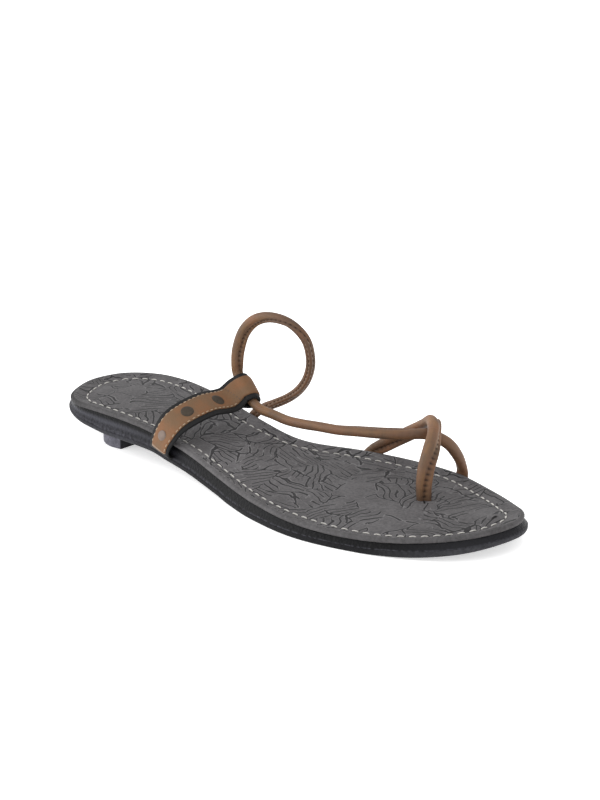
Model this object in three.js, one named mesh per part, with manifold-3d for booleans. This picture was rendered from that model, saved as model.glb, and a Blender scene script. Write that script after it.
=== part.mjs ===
// A flat cord sandal for the right foot, in millimetres.
// +Y points to the toe, +X to the wearer's right, which is the outer side of the foot, and +Z up.
// The origin lies on the floor, under the middle of the heel block.

import * as THREE from 'three';
import { mergeVertices } from 'three/addons/utils/BufferGeometryUtils.js';
import Module from 'manifold-3d';

const wasm = await Module();
wasm.setup();

const CLEARANCE = 0.3; // gap between pieces that meet

const FOOTBED_THICKNESS = 2.4;
const FOOTBED_EDGE_RADIUS = 0.9; // the cover is wrapped round the edge
const FOOTBED_CHAMFER = 0.4; // at its lower edge
const MIDSOLE_LIP = 0.2; // how far the outsole stands out past the midsole
const MIDSOLE_INSET = 0.7; // the midsole starts in the shadow of the footbed's edge

const SLEEVE_WIDTH = 15.5;
const STRAP_THICKNESS = 1.4;
const FACING_INSET = 2; // border of the band left bare on each side
const FACING_THICKNESS = 0.8;
const SLEEVE_RADIUS = 3.4; // middle of the band's thickness to the middle of the cord
const FACING_START = 13.6; // cut edge of the facing, along the band from its hidden end
const FACING_END = 78; // under the fold of the sleeve
const RIVET_PLACES = [20, 35, 52.4]; // along the band from its hidden end
const RIVET_RADIUS = 3;
const RIVET_EDGE = 0.3; // straight edge of the head, below its dome
const RIVET_RISE = 1.2;
const SHANK_RADIUS = 1.2;

const HEEL_HALF_WIDTH = 18.4;
const HEEL_REAR = -10.5;
const HEEL_WIDEST = 5.5;
const HEEL_BREAST = 12.3;
const HEEL_DRAW_IN = 0.5; // on each side, from the widest place to the breast
const HEEL_SKEW = 0.1; // the breast runs forward by this much for each mm towards the big-toe side

const ROUND_SIDES = 20; // sides of rivets and their holes
const SIDE_STEPS = 56; // stations along each side of the sole, heel to toe
const HEEL_STEPS = 12; // stations along each side of the heel block's round back
const CORD_SIDES = 12;
const CORD_STEPS = 3; // sections between two points of a cord's route
const BAND_STEP = 1.5; // distance between two sections of the band

const table = (columns, rows) =>
  rows.map((row) => Object.fromEntries(columns.map((name, i) => [name, row[i]])));

// Plan of the footbed: the big-toe side and the outer side at each section.
// The first and last rows are the poles at heel and toe.
const PLAN = table(['y', 'inner', 'outer'], [
  [-30.3, -4.3, -4.3],
  [-26.5, -17.8, 10.2],
  [-20.5, -23.9, 19.5],
  [-10.5, -28.5, 25.3],
  [4.5, -30.3, 26.4],
  [30.5, -27.7, 26.6],
  [58.5, -24.1, 27.6],
  [84.5, -24.2, 32.7],
  [111.5, -36.7, 39.9],
  [135.5, -43, 43.6],
  [159.5, -43.8, 40.8],
  [182.5, -34.9, 33.3],
  [201.5, -23.6, 21.8],
  [211.5, -15.6, 9.9],
  [215.7, -4.8, -4.8],
]);

// Side view: height of the footbed's top and of the sole's underside, thickness of the outsole,
// and how far the outsole stands out past the footbed. It lies flat on the floor under the ball.
const PROFILE = table(['y', 'top', 'under', 'outsole', 'rim'], [
  [-30.3, 20.5, 13.6, 3.2, 1.2],
  [-14.5, 21.2, 12, 3.2, 0.7],
  [-0.5, 21.7, 9.9, 3.2, 0.6],
  [10.5, 21.7, 8.8, 3.2, 0.6],
  [30.5, 20.8, 8.5, 3.1, 0.6],
  [38.5, 19.9, 8.2, 3, 0.7],
  [49.5, 17.9, 6.2, 2.9, 0.8],
  [58.5, 16.3, 5, 2.8, 0.9],
  [71.5, 13.9, 3.4, 2.7, 1.1],
  [84.5, 11.4, 1.9, 2.6, 1.4],
  [94.5, 10, 0.6, 2.6, 1.6],
  [111.5, 8.7, 0, 2.6, 1.8],
  [135.5, 7.8, 0, 2.6, 1.4],
  [155.5, 7.4, 0, 2.6, 1],
  [166.5, 7.6, 0, 2.6, 0.8],
  [182.5, 8.6, 0.6, 3, 1],
  [201.5, 10.9, 2.9, 2.9, 1.4],
  [215.7, 13, 6, 2.6, 1.6],
]);

// Rounding of the outsole's lower edge: how far in and how far up it reaches.
// Dish is the hollow of the midsole's wall.
const EDGE = table(['y', 'inset', 'rise', 'dish'], [
  [-30.3, 4, 2.2, 0.6],
  [20.5, 4, 2.2, 0.6],
  [60.5, 2, 1.5, 0.4],
  [84.5, 1, 0.9, 0.2],
  [170.5, 1, 0.9, 0],
  [215.7, 2, 1.3, 0],
]);

// Middle line of the instep band, from its hidden end under the midsole's outer edge to the sleeve.
// Skew and drop, in degrees, turn its width from straight ahead towards +X and down.
const BAND = table(['x', 'y', 'z', 'skew', 'drop', 'width'], [
  [18, 47, 10.8, 3, 10.5, 13],
  [26, 47.1, 10.8, 3, 10.5, 13],
  [29, 47.2, 11.6, 5, 13, 13],
  [29.9, 47.5, 13.9, 9, 18, 13],
  [29.7, 48.6, 17.3, 11, 20.5, 13.4],
  [28.4, 50.2, 21.1, 9, 21.5, 14.4],
  [24.9, 51.9, 25.3, 7, 22.3, 15.2],
  [19.6, 54.1, 28.2, 6, 23, 15.5],
  [7.7, 56.4, 30.3, 8, 25, 15.5],
  [-5.6, 57.8, 29.3, 15, 28.5, 15.5],
]);

// The sleeve folds round the cord. Its middle, and the directions across, out and along it.
const SLEEVE_CENTRE = new THREE.Vector3(-15.7, 59.9, 31.2);
const SLEEVE_SKEW = 22;
const SLEEVE_DROP = 30.5;
const SLEEVE_UP = new THREE.Vector3(0.2, 0.52, 0.83);
// Folds of the sleeve's section, away from the strap and up, before and after its round part.
const SLEEVE_NECK = { out: -4.3, up: 1.3 };
const SLEEVE_RETURN = [{ out: -4.3, up: -2.3 }, { out: -8.2, up: -2.9 }];
const SLEEVE_ARC = 112; // degrees to each side of straight out
const SLEEVE_ARC_STEPS = 8;

// Routes of the two cords: middle of the section, its full width and depth, and the heading of
// its width in plan, in degrees from +Y towards -X. The hidden ends are pressed flat.
const MAIN_CORD = table(['x', 'y', 'z', 'wide', 'deep', 'turn'], [
  [-17.5, 54.3, 12.5, 5.8, 1.9, 0],
  [-22.5, 54.3, 12.5, 5.8, 1.9, 0],
  [-25.7, 54.4, 13.3, 5.8, 2, 0],
  [-26.8, 55.1, 15.3, 5.2, 2.6, 5],
  [-27.7, 57.6, 17.6, 4.9, 3.4, 20],
  [-28.5, 60.8, 19.7, 4.5, 4.2, 35],
  [-29.3, 64.7, 21.8, 4.5, 4.4, 40],
  [-30.2, 73.3, 26.8, 4.7, 4.4, 40],
  [-29.2, 81.2, 33.3, 4.8, 4.4, 40],
  [-27.4, 87.1, 41.2, 4.8, 4.4, 40],
  [-25.1, 90.3, 50.3, 4.8, 4.4, 40],
  [-22.7, 89.2, 60, 4.5, 4.4, 40],
  [-20.2, 82.6, 66.5, 4.5, 4.4, 40],
  [-18.8, 72.8, 68.1, 4.5, 4.4, 40],
  [-18.7, 63.4, 65.3, 4.6, 4.4, 40],
  [-18.9, 56.2, 58.3, 5.2, 4.4, 40],
  [-18.6, 52.6, 48.9, 5.6, 4.4, 40],
  [-18.5, 51.9, 42.6, 5.4, 4.4, 40],
  [-18.8, 52, 37.6, 4.8, 4.4, 40],
  [-17.6, 55.1, 34.2, 4.4, 4.3, 40],
  [-13.9, 64.3, 28.4, 4.4, 4.4, 40],
  [-12.4, 71.2, 25.7, 5, 4.4, 40],
  [-12.3, 78.9, 25, 4.7, 4.4, 40],
  [-10.7, 88.8, 25.1, 4.5, 4.4, 40],
  [-9.4, 98.8, 26.2, 4.5, 4.4, 40],
  [-8.7, 108.8, 27.5, 4.5, 4.4, 40],
  [-8.9, 118.9, 28.4, 4.5, 4.4, 40],
  [-10.7, 128.8, 29.5, 4.5, 4.4, 40],
  [-14.1, 138.2, 29.9, 4.5, 4.4, 40],
  [-19.7, 146.6, 29.9, 4.5, 4.4, 40],
  [-27.1, 153.4, 29.2, 4.7, 4.9, 40],
  [-34.8, 158.3, 24.2, 4.9, 5, 40],
  [-40.9, 159.8, 17, 4.9, 4.5, 25],
  [-44.4, 160.3, 10.9, 4.9, 3.7, 8],
  [-45.5, 160.4, 7.2, 6, 2.2, 0],
  [-44.5, 160.4, 4.4, 7.4, 1.9, 0],
  [-41.6, 160.4, 3.85, 7.4, 1.9, 0],
  [-37, 160.4, 3.85, 7.4, 1.9, 0],
]);
const TOE_STRAND = table(['x', 'y', 'z', 'wide', 'deep', 'turn'], [
  [-30.9, 112, 4.95, 6, 1.9, 0],
  [-35.9, 112, 4.95, 6, 1.9, 0],
  [-39.2, 112.1, 5.4, 6, 1.9, 0],
  [-40.8, 113.3, 6.8, 6, 2.3, 0],
  [-41.3, 116, 8.6, 6.4, 3.2, 0],
  [-41.6, 120.5, 11.6, 6.9, 4.2, 0],
  [-42.1, 126.9, 15.9, 6.9, 4.4, 0],
  [-41.6, 133.4, 20.1, 6.9, 4.4, 0],
  [-40.5, 139.5, 24.2, 6.9, 4.4, 5],
  [-38.1, 145.5, 28.6, 6.9, 4.4, 20],
  [-34.2, 151.3, 32.8, 6.9, 5.3, 40],
  [-28.6, 156.6, 33.1, 6.8, 6, 40],
  [-22.1, 160.7, 30.5, 7.3, 4.4, 40],
  [-16.2, 163.2, 26.3, 7.6, 4.4, 40],
  [-11.5, 164.4, 20.5, 7.2, 4.3, 40],
  [-9.2, 165.1, 13.5, 6.9, 4.1, 40],
  [-8.9, 165.7, 6.5, 6.6, 4, 40],
  [-8.8, 165.9, 4.4, 6.6, 4, 40],
]);

const radians = THREE.MathUtils.degToRad;

// Smooth reading of one column of a table at y, with no overshoot between rows: a cubic through
// each pair of rows whose end slopes are held to the harmonic mean of the slopes on either side.
function read(rows, column, y) {
  const last = rows.length - 2;
  const i = Math.min(last, Math.max(0, rows.findIndex((row) => row.y > y) - 1));
  const place = y >= rows[last + 1].y ? last : i;
  const chord = (k) => (rows[k + 1][column] - rows[k][column]) / (rows[k + 1].y - rows[k].y);
  const slope = (k) => {
    if (k === 0) return chord(0);
    if (k > last) return chord(last);
    const before = chord(k - 1);
    const after = chord(k);
    return before * after <= 0 ? 0 : (2 * before * after) / (before + after);
  };
  const span = rows[place + 1].y - rows[place].y;
  const t = THREE.MathUtils.clamp((y - rows[place].y) / span, 0, 1);
  const rise = rows[place + 1][column] - rows[place][column];
  const a = slope(place) * span - rise;
  const b = rise - slope(place + 1) * span;
  return rows[place][column] + rise * t + t * (1 - t) * (a * (1 - t) + b * t);
}

// Closed body through rings that hold the same number of points, each ring counter-clockwise
// when the next one lies towards the viewer. Cap is a list of triangles over one ring.
function loft(rings, cap) {
  const count = rings[0].length;
  const last = (rings.length - 1) * count;
  const index = [];
  for (let start = 0; start < last; start += count) {
    for (let j = 0; j < count; j++) {
      const a = start + j;
      const b = start + ((j + 1) % count);
      index.push(a, b, b + count, a, b + count, a + count);
    }
  }
  for (const [a, b, c] of cap) index.push(last + a, last + b, last + c, a, c, b);
  const geometry = new THREE.BufferGeometry();
  const places = rings.flat().flatMap((point) => point.toArray());
  geometry.setAttribute('position', new THREE.Float32BufferAttribute(places, 3));
  geometry.setIndex(index);
  return geometry;
}

// Cap for a small convex ring: triangles that share its first point.
const fan = (count) => Array.from({ length: count - 2 }, (_, k) => [0, k + 1, k + 2]);

// Cap for a sole: rungs from one side to the other, narrowing to a pole at both ends.
function ladder(count) {
  const cap = [];
  for (let j = 0; j < count / 2; j++) {
    const across = count - j - 1;
    if (j + 1 !== across) cap.push([j, j + 1, across]);
    if (j > 0) cap.push([j, across, across + 1]);
  }
  return cap;
}

function solidOf(geometry) {
  const bare = geometry.clone();
  bare.deleteAttribute('normal');
  bare.deleteAttribute('uv');
  const merged = mergeVertices(bare, 1e-4);
  return new wasm.Manifold(new wasm.Mesh({
    numProp: 3,
    vertProperties: new Float32Array(merged.attributes.position.array),
    triVerts: new Uint32Array(merged.index.array),
  }));
}

function geometryOf(solid) {
  const { vertProperties, triVerts } = solid.getMesh();
  const geometry = new THREE.BufferGeometry();
  geometry.setAttribute('position', new THREE.BufferAttribute(new Float32Array(vertProperties), 3));
  geometry.setIndex(new THREE.BufferAttribute(new Uint32Array(triVerts), 1));
  return geometry;
}

const cut = (geometry, ...tools) =>
  geometryOf(tools.reduce((solid, tool) => solid.subtract(solidOf(tool)), solidOf(geometry)));

// Outline of the footbed in plan: up the outer side from the heel's pole to the toe's pole,
// and back down the other side.
const outline = new THREE.CatmullRomCurve3([
  ...PLAN.slice(0, -1).map(({ y, outer }) => new THREE.Vector3(outer, y, 0)),
  ...PLAN.slice(1).reverse().map(({ y, inner }) => new THREE.Vector3(inner, y, 0)),
], true, 'centripetal');

// One ring round the sole. Offset and height are functions of y on the footbed's outline, and
// offset is measured square to it, outwards.
function soleRing(offset, height) {
  return Array.from({ length: 2 * SIDE_STEPS }, (_, j) => {
    const u = j / (2 * SIDE_STEPS);
    const point = outline.getPoint(u);
    const along = outline.getTangent(u);
    const out = offset(point.y);
    return new THREE.Vector3(point.x + along.y * out, point.y - along.x * out, height(point.y));
  });
}

const topOf = (y) => read(PROFILE, 'top', y);
const underOf = (y) => read(PROFILE, 'under', y);
const rimOf = (y) => read(PROFILE, 'rim', y);
const midsoleTop = (y) => topOf(y) - FOOTBED_THICKNESS - CLEARANCE;
const outsoleTop = (y) => underOf(y) + read(PROFILE, 'outsole', y);
const midsoleUnder = (y) => outsoleTop(y) + CLEARANCE;

function footbedBody() {
  const r = FOOTBED_EDGE_RADIUS;
  const rounding = [0, 30, 60, 90].map(radians);
  return loft([
    soleRing(() => -FOOTBED_CHAMFER, (y) => topOf(y) - FOOTBED_THICKNESS),
    soleRing(() => 0, (y) => topOf(y) - FOOTBED_THICKNESS + FOOTBED_CHAMFER),
    ...rounding.map((angle) =>
      soleRing(() => -r * (1 - Math.cos(angle)), (y) => topOf(y) - r * (1 - Math.sin(angle)))),
  ], ladder(2 * SIDE_STEPS));
}

// The wall of the midsole runs from the outsole's rim up to the inset under the footbed, hollowed
// by the dish.
function midsoleBody() {
  const levels = [0, 0.2, 0.4, 0.6, 0.8, 1];
  return loft(levels.map((t) => soleRing(
    (y) => THREE.MathUtils.lerp(rimOf(y) - MIDSOLE_LIP, -MIDSOLE_INSET, t)
      - read(EDGE, 'dish', y) * Math.sin(Math.PI * t),
    (y) => THREE.MathUtils.lerp(midsoleUnder(y), midsoleTop(y), t),
  )), ladder(2 * SIDE_STEPS));
}

function outsoleBody() {
  const rounding = [0, 22.5, 45, 67.5, 90].map(radians);
  return loft([
    ...rounding.map((angle) => soleRing(
      (y) => rimOf(y) - read(EDGE, 'inset', y) * (1 - Math.sin(angle)),
      (y) => underOf(y) + read(EDGE, 'rise', y) * (1 - Math.cos(angle)),
    )),
    soleRing((y) => rimOf(y), outsoleTop),
  ], ladder(2 * SIDE_STEPS));
}

// D in plan: half an ellipse at the back, sides that draw in a little, and a flat, skewed breast.
function heelBlockBody() {
  const outer = Array.from({ length: HEEL_STEPS }, (_, k) => {
    const angle = (Math.PI / 2) * (k / (HEEL_STEPS - 1));
    const depth = HEEL_WIDEST - HEEL_REAR;
    return [HEEL_HALF_WIDTH * Math.sin(angle), HEEL_WIDEST - depth * Math.cos(angle)];
  });
  const corner = HEEL_HALF_WIDTH - HEEL_DRAW_IN;
  outer.push([corner, HEEL_BREAST - HEEL_SKEW * corner]);
  const inner = outer.slice(1, -1).map(([x, y]) => [-x, y]);
  inner.push([-corner, HEEL_BREAST + HEEL_SKEW * corner]);
  const plan = [...outer, [0, HEEL_BREAST], ...inner.reverse()];
  return loft([
    plan.map(([x, y]) => new THREE.Vector3(x, y, 0)),
    plan.map(([x, y]) => new THREE.Vector3(x, y, underOf(y) - CLEARANCE)),
  ], ladder(plan.length));
}

// Direction of the band's width for a skew and a drop in degrees.
const acrossOf = (skew, drop) => new THREE.Vector3(
  Math.sin(radians(skew)) * Math.cos(radians(drop)),
  Math.cos(radians(skew)) * Math.cos(radians(drop)),
  -Math.sin(radians(drop)),
);

// The band's rows, then the folds of the sleeve: neck, round part and the end tucked below.
function bandRows() {
  const across = acrossOf(SLEEVE_SKEW, SLEEVE_DROP);
  const out = SLEEVE_UP.clone().cross(across).normalize();
  const up = across.clone().cross(out);
  const place = (fold) => SLEEVE_CENTRE.clone()
    .addScaledVector(out, fold.out).addScaledVector(up, fold.up);
  const round = Array.from({ length: SLEEVE_ARC_STEPS + 1 }, (_, k) => {
    const angle = radians(SLEEVE_ARC * (1 - (2 * k) / SLEEVE_ARC_STEPS));
    return { out: SLEEVE_RADIUS * Math.cos(angle), up: SLEEVE_RADIUS * Math.sin(angle) };
  });
  return [
    ...BAND.map(({ x, y, z, skew, drop, width }) =>
      ({ centre: new THREE.Vector3(x, y, z), across: acrossOf(skew, drop), width })),
    ...[SLEEVE_NECK, ...round, ...SLEEVE_RETURN].map((fold) =>
      ({ centre: place(fold), across, width: SLEEVE_WIDTH })),
  ];
}

const band = bandRows();
const bandLine = new THREE.CatmullRomCurve3(band.map((row) => row.centre), false, 'centripetal');
bandLine.arcLengthDivisions = 2000;

// Place on the band at a distance from its hidden end: middle, directions along it, across it and
// out of it, and its width.
function bandFrame(distance) {
  const t = bandLine.getUtoTmapping(0, distance);
  const row = Math.min(band.length - 2, Math.floor(t * (band.length - 1)));
  const blend = t * (band.length - 1) - row;
  const along = bandLine.getTangent(t);
  const across = band[row].across.clone().lerp(band[row + 1].across, blend);
  across.addScaledVector(along, -across.dot(along)).normalize();
  const normal = across.clone().cross(along);
  const width = THREE.MathUtils.lerp(band[row].width, band[row + 1].width, blend);
  return { centre: bandLine.getPoint(t), along, across, normal, width };
}

// A strip of the band between two distances, two heights over its middle, and an inset from
// its edges. Grow makes it larger on every side, for the pocket that it lies in.
function ribbon(from, to, low, high, inset, grow = 0) {
  const steps = Math.ceil((to - from) / BAND_STEP);
  const corners = [[-1, low - grow], [-1, high + grow], [1, high + grow], [1, low - grow]];
  return loft(Array.from({ length: steps + 1 }, (_, k) => {
    const { centre, along, across, normal, width } = bandFrame(from + ((to - from) * k) / steps);
    const end = k === 0 ? -grow : 0;
    return corners.map(([side, height]) => centre.clone()
      .addScaledVector(across, side * (width / 2 - inset + grow))
      .addScaledVector(normal, height).addScaledVector(along, end));
  }), fan(4));
}

const strapHigh = STRAP_THICKNESS / 2;
const facingLow = strapHigh + CLEARANCE;
const facingHigh = facingLow + FACING_THICKNESS;
const bandLength = bandLine.getLength();

// A turned shape whose axis stands on the band, pointing outwards.
function onBand(geometry, distance) {
  const { centre, along, across, normal } = bandFrame(distance);
  return geometry.applyMatrix4(
    new THREE.Matrix4().makeBasis(along, normal, across).setPosition(centre));
}

// Low dome on a shank that reaches through the facing and the band.
function rivetBody(distance) {
  const seat = facingHigh + CLEARANCE;
  const dome = [0, 18, 36, 54, 72, 90].map(radians).map((angle) =>
    new THREE.Vector2(
      RIVET_RADIUS * Math.cos(angle),
      seat + RIVET_EDGE + (RIVET_RISE - RIVET_EDGE) * Math.sin(angle),
    ));
  dome[dome.length - 1].x = 0;
  const profile = [
    new THREE.Vector2(0, -strapHigh),
    new THREE.Vector2(SHANK_RADIUS, -strapHigh),
    new THREE.Vector2(SHANK_RADIUS, seat),
    new THREE.Vector2(RIVET_RADIUS, seat),
    ...dome,
  ];
  return onBand(new THREE.LatheGeometry(profile, ROUND_SIDES), distance);
}

function rivetHole(distance) {
  const radius = SHANK_RADIUS + CLEARANCE;
  const length = 2 * (facingHigh + CLEARANCE);
  return onBand(new THREE.CylinderGeometry(radius, radius, length, ROUND_SIDES), distance);
}

// A cord: oval sections along its route. Grow widens and deepens it on every side, for the
// notch or hole that it lies in.
function cordBody(route, grow = 0) {
  const line = new THREE.CatmullRomCurve3(
    route.map(({ x, y, z }) => new THREE.Vector3(x, y, z)), false, 'centripetal');
  const steps = (route.length - 1) * CORD_STEPS;
  return loft(Array.from({ length: steps + 1 }, (_, k) => {
    const t = k / steps;
    const row = Math.min(route.length - 2, Math.floor(k / CORD_STEPS));
    const blend = k / CORD_STEPS - row;
    const mix = (name) => THREE.MathUtils.lerp(route[row][name], route[row + 1][name], blend);
    const along = line.getTangent(t);
    const end = grow * (k === 0 ? -1 : k === steps ? 1 : 0);
    const centre = line.getPoint(t).addScaledVector(along, end);
    const turn = radians(mix('turn'));
    const wide = new THREE.Vector3(-Math.sin(turn), Math.cos(turn), 0);
    wide.addScaledVector(along, -wide.dot(along)).normalize();
    const deep = along.clone().cross(wide);
    return Array.from({ length: CORD_SIDES }, (_, j) => {
      const angle = (2 * Math.PI * j) / CORD_SIDES;
      return centre.clone()
        .addScaledVector(wide, (mix('wide') / 2 + grow) * Math.cos(angle))
        .addScaledVector(deep, (mix('deep') / 2 + grow) * Math.sin(angle));
    });
  }), fan(CORD_SIDES));
}

const sandal = new THREE.Group();

function addPiece(name, geometry, color, roughness, metalness = 0) {
  const mesh = new THREE.Mesh(geometry, new THREE.MeshStandardMaterial({ color, roughness, metalness }));
  mesh.name = name;
  sandal.add(mesh);
}

const cords = geometryOf(solidOf(cordBody(MAIN_CORD)).add(solidOf(cordBody(TOE_STRAND))));
const cordRoom = [cordBody(MAIN_CORD, CLEARANCE), cordBody(TOE_STRAND, CLEARANCE)];
const bandRoom = ribbon(0, FACING_START, -strapHigh, strapHigh, 0, CLEARANCE);
const rivetHoles = RIVET_PLACES.map(rivetHole);

addPiece('outsole', outsoleBody(), '#37373a', 0.6);
addPiece('midsole', cut(midsoleBody(), bandRoom, ...cordRoom), '#222224', 0.45);
addPiece('heel_block', heelBlockBody(), '#3c3c40', 0.6);
addPiece('footbed', cut(footbedBody(), cordRoom[1]), '#625f60', 0.7);
addPiece('instep_strap',
  cut(ribbon(0, bandLength, -strapHigh, strapHigh, 0), ...rivetHoles),
  '#1a1a1a', 0.7);
addPiece('strap_facing',
  cut(ribbon(FACING_START, FACING_END, facingLow, facingHigh, FACING_INSET), ...rivetHoles),
  '#7d664c', 0.6);
addPiece('cord_straps', cords, '#74593f', 0.6);
RIVET_PLACES.forEach((distance, i) =>
  addPiece(`rivet_${i + 1}`, rivetBody(distance), '#5b5148', 0.35, 0.9));

export default sandal;
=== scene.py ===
# A flat cord sandal for the right foot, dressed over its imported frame.
# Tables are in millimetres and the scene is in metres. +Y runs to the toe, +X to the outer side of
# the foot and +Z up from the floor.
from functools import partial

import bmesh
import bpy
import numpy as np
from mathutils import Matrix, Vector


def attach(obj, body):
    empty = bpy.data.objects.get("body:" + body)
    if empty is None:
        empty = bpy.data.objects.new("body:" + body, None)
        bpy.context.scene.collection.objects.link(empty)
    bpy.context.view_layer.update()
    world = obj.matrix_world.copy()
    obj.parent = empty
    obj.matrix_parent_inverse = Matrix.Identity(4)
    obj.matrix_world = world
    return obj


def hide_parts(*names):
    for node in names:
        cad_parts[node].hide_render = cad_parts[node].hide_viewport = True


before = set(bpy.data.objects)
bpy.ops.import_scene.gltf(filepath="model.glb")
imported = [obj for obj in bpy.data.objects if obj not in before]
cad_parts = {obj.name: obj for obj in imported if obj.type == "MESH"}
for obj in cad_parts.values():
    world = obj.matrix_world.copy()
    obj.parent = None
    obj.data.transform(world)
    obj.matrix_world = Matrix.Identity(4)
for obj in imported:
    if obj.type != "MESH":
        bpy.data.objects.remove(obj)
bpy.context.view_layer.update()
scene = bpy.context.scene
mm = 0.001

# Camera, floor and light

cameraView = {
    "target": (0, 0.0945, 0.010),
    "azimuth": 129.76,  # degrees, 0 looks along +Y
    "elevation": 21.81,
    "roll": -0.15,
    "distance": 0.774,
    "lens": 77.94,
    "shift": (0.0219, 0.0761),
}


def addCamera(view):
    # It stands at target + distance * (sin a cos e, -cos a cos e, sin e) and looks at the target.
    a, e = np.radians([view["azimuth"], view["elevation"]])
    back = Vector((np.sin(a) * np.cos(e), -np.cos(a) * np.cos(e), np.sin(e)))
    data = bpy.data.cameras.new("camera")
    data.lens = view["lens"]
    data.shift_x, data.shift_y = view["shift"]
    camera = bpy.data.objects.new("camera", data)
    camera.matrix_world = (
        Matrix.Translation(Vector(view["target"]) + back * view["distance"])
        @ back.to_track_quat("Z", "Y").to_matrix().to_4x4()
        @ Matrix.Rotation(np.radians(view["roll"]), 4, "Z")
    )
    scene.collection.objects.link(camera)
    scene.camera = camera


studio = {
    "floorSize": 16,
    "floorGlow": 0.55,
    "dome": 1.0,
    "softboxes": {  # direction it stands in, how wide it looks in degrees, strength
        "overhead": ((0.25, -0.35, 1.0), 90, 0.5),
        "heelSide": ((0.64, -0.77, 0.45), 45, 1.4),
    },
}


def linear(code):
    # sRGB hex to linear light: c / 12.92 up to 0.04045, else ((c + 0.055) / 1.055) to the power 2.4.
    c = np.array([int(code[i:i + 2], 16) for i in (1, 3, 5)]) / 255
    light = np.where(c <= 0.04045, c / 12.92, ((c + 0.055) / 1.055) ** 2.4)
    return (*light.tolist(), 1)


def addNode(tree, kind, inputs=None, **settings):
    # One shader node. Inputs are keyed by name or number, and each is a value or a socket to link.
    node = tree.nodes.new("ShaderNode" + kind)
    for name, value in settings.items():
        setattr(node, name, value)
    for key, value in (inputs or {}).items():
        if isinstance(value, bpy.types.NodeSocket):
            tree.links.new(value, node.inputs[key])
        else:
            node.inputs[key].default_value = value
    return node.outputs


def newMaterial(name, surface):
    # A material with one Principled shader and its fixed sockets, addNode for its tree, and places
    # on the object in mm.
    material = bpy.data.materials.new(name)
    material.use_nodes = True
    shader = material.node_tree.nodes["Principled BSDF"]
    for key, value in surface.items():
        shader.inputs[key].default_value = linear(value) if isinstance(value, str) else value
    add = partial(addNode, material.node_tree)
    place = add("VectorMath", {0: add("TexCoord")["Object"], "Scale": 1 / mm}, operation="SCALE")[0]
    return material, add, place


def finished(material, colour=None, bump=None):
    # The material with its colour and bump linked to its shader.
    tree = material.node_tree
    for socket, key in ((colour, "Base Color"), (bump, "Normal")):
        if socket is not None:
            tree.links.new(socket, tree.nodes["Principled BSDF"].inputs[key])
    return material


def patches(add, place, size, detail, low, high, **ends):
    # Cloudy noise in lumps of a size in mm, its values from low to high stretched to 0 to 1, or to the
    # ends given.
    noise = add("TexNoise", {"Vector": place, "Scale": 1 / size, "Detail": detail})[0]
    return add("MapRange", {"Value": noise, "From Min": low, "From Max": high, **ends})[0]


def layered(add, colour, *layers):
    # The colour mixed with each layer's colour by its amount, one after the other.
    for amount, code in layers:
        colour = add("Mix", {0: amount, 6: colour, 7: linear(code)}, data_type="RGBA")[2]
    return colour


def addFloor():
    # A square of paper that glows a little, so that it stays white to its far edge.
    half = studio["floorSize"] / 2
    mesh = bpy.data.meshes.new("floor")
    mesh.from_pydata([(-half, -half, 0), (half, -half, 0), (half, half, 0), (-half, half, 0)],
                     [], [(0, 1, 2, 3)])
    floor = bpy.data.objects.new("floor", mesh)
    mesh.materials.append(newMaterial("litPaper", {
        "Base Color": "#fcfcfc", "Roughness": 1.0, "Specular IOR Level": 0.0,
        "Emission Color": "#ffffff", "Emission Strength": studio["floorGlow"]})[0])
    scene.collection.objects.link(floor)


def addLights():
    # An even white dome and wide soft suns that shine from their directions to the middle.
    world = bpy.data.worlds.new("dome")
    world.use_nodes = True
    world.node_tree.nodes["Background"].inputs["Color"].default_value = (1, 1, 1, 1)
    world.node_tree.nodes["Background"].inputs["Strength"].default_value = studio["dome"]
    scene.world = world
    scene.view_settings.view_transform = "Standard"
    for name, (direction, width, strength) in studio["softboxes"].items():
        data = bpy.data.lights.new(name, "SUN")
        data.angle = np.radians(width)
        data.energy = strength
        light = bpy.data.objects.new(name, data)
        light.matrix_world = Vector(direction).to_track_quat("Z", "Y").to_matrix().to_4x4()
        scene.collection.objects.link(light)


addCamera(cameraView)
addFloor()
addLights()
print("camera, floor and light are set")

# Curves, tables and meshes


def columns(names, rows):
    # A table as one array for each named column.
    return dict(zip(names.split(), np.array(rows, float).T))


def readColumn(table, name, y):
    # Cubic between rows with no overshoot: the slope at a row is the harmonic mean of the slopes of
    # the chords beside it, or none where they differ in sign.
    ys, values = table["y"], table[name]
    chord = np.diff(values) / np.diff(ys)
    product, total = chord[:-1] * chord[1:], chord[:-1] + chord[1:]
    inner = np.where(product > 0, 2 * product / np.where(product > 0, total, 1), 0)
    slope = np.concatenate([chord[:1], inner, chord[-1:]])
    i = np.clip(np.searchsorted(ys, y, "right") - 1, 0, len(ys) - 2)
    span, rise = ys[i + 1] - ys[i], values[i + 1] - values[i]
    t = np.clip((y - ys[i]) / span, 0, 1)
    a, b = slope[i] * span - rise, rise - slope[i + 1] * span
    return values[i] + rise * t + t * (1 - t) * (a * (1 - t) + b * t)


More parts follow.
